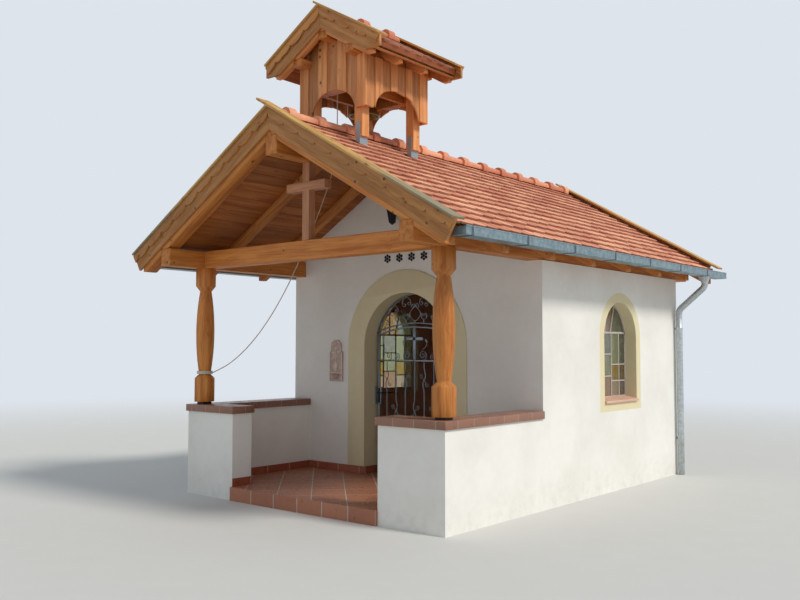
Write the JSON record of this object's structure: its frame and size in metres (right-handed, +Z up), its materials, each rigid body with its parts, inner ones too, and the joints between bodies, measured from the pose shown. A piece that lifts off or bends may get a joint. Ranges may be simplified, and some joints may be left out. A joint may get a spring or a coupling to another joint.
{
  "type": "chapel",
  "caption": "Small rendered chapel with an open timber porch, clay tile roof, bell turret with a swinging bell, arched doorway with a hinged iron gate, and arched side windows.",
  "frame": {"origin": "on the ground, on the middle line, under the outer face of the wall that holds the doorway", "axes": "+X to the right seen from the front, +Y to the back of the chapel, +Z up"},
  "size_m": [4.572, 5.977, 5.223],
  "materials": {
    "white_render": "matte",
    "cream_paint": "matte",
    "terracotta": "satin",
    "roof_clay": "matte",
    "oiled_spruce": "satin",
    "weathered_spruce": "matte",
    "zinc_sheet": "satin",
    "galvanised_iron": "satin",
    "black_iron": "satin",
    "bell_bronze": "satin",
    "leaded_glass": "gloss",
    "painted_relief": "satin",
    "hemp_rope": "matte"
  },
  "bodies": {
    "chapel": {"chapel_floor": "terracotta", "porch_floor": "terracotta", "front_wall_left": "white_render", "front_wall_right": "white_render", "front_gable": "white_render", "rear_wall": "white_render", "left_wall": "white_render", "right_wall": "white_render", "left_parapet": "white_render", "right_parapet": "white_render", "left_coping": "terracotta", "right_coping": "terracotta", "skirting": "terracotta", "door_surround": "cream_paint", "window_sills": "terracotta", "window_glass": "leaded_glass", "left_post": "oiled_spruce", "right_post": "oiled_spruce", "post_shoes": "galvanised_iron", "tie_beam": "oiled_spruce", "gable_cross": "oiled_spruce", "roof_purlins": "oiled_spruce", "rafters_left": "oiled_spruce", "rafters_right": "oiled_spruce", "roof_boards_left": "oiled_spruce", "roof_boards_right": "oiled_spruce", "roof_tiles_left": "roof_clay", "roof_tiles_right": "roof_clay", "ridge_tiles": "roof_clay", "bargeboards": "weathered_spruce", "cover_boards": "weathered_spruce", "left_gutter": "zinc_sheet", "right_gutter": "zinc_sheet", "gutter_brackets": "zinc_sheet", "downpipes": "zinc_sheet", "gate_hinges": "galvanised_iron", "gate_fanlight": "galvanised_iron", "wall_lantern": "black_iron", "holy_water_plaque": "painted_relief", "turret_posts": "oiled_spruce", "turret_frame": "oiled_spruce", "turret_rafters": "oiled_spruce", "turret_cladding_front": "oiled_spruce", "turret_cladding_rear": "oiled_spruce", "turret_cladding_left": "oiled_spruce", "turret_cladding_right": "oiled_spruce", "turret_boards": "oiled_spruce", "turret_tiles": "roof_clay", "turret_ridge_tiles": "roof_clay", "turret_bargeboards": "weathered_spruce", "turret_cover_boards": "weathered_spruce", "bell_bearings": "black_iron", "bell_rope": "hemp_rope", "rope_hitch": "hemp_rope", "rope_guide": "black_iron"},
    "gate": {"gate_leaf": "galvanised_iron"},
    "bell_and_yoke": {"bell": "bell_bronze", "bell_yoke": "black_iron"},
    "bell_clapper": {"clapper": "black_iron"}
  },
  "joints": [
    {"name": "gate_hinge", "type": "hinge", "parent": "chapel", "child": "gate", "pos_m": [0.566, 0.19, 0.17], "axis": [0, 0, -1], "range_deg": [0, 90]},
    {"name": "bell_swing", "type": "hinge", "parent": "chapel", "child": "bell_and_yoke", "pos_m": [0, -0.695, 4.462], "axis": [1, 0, 0], "range_deg": [-25, 25]},
    {"name": "clapper_swing", "type": "hinge", "parent": "bell_and_yoke", "child": "bell_clapper", "pos_m": [0, -0.695, 4.362], "axis": [1, 0, 0], "range_deg": [-24, 24]}
  ]
}
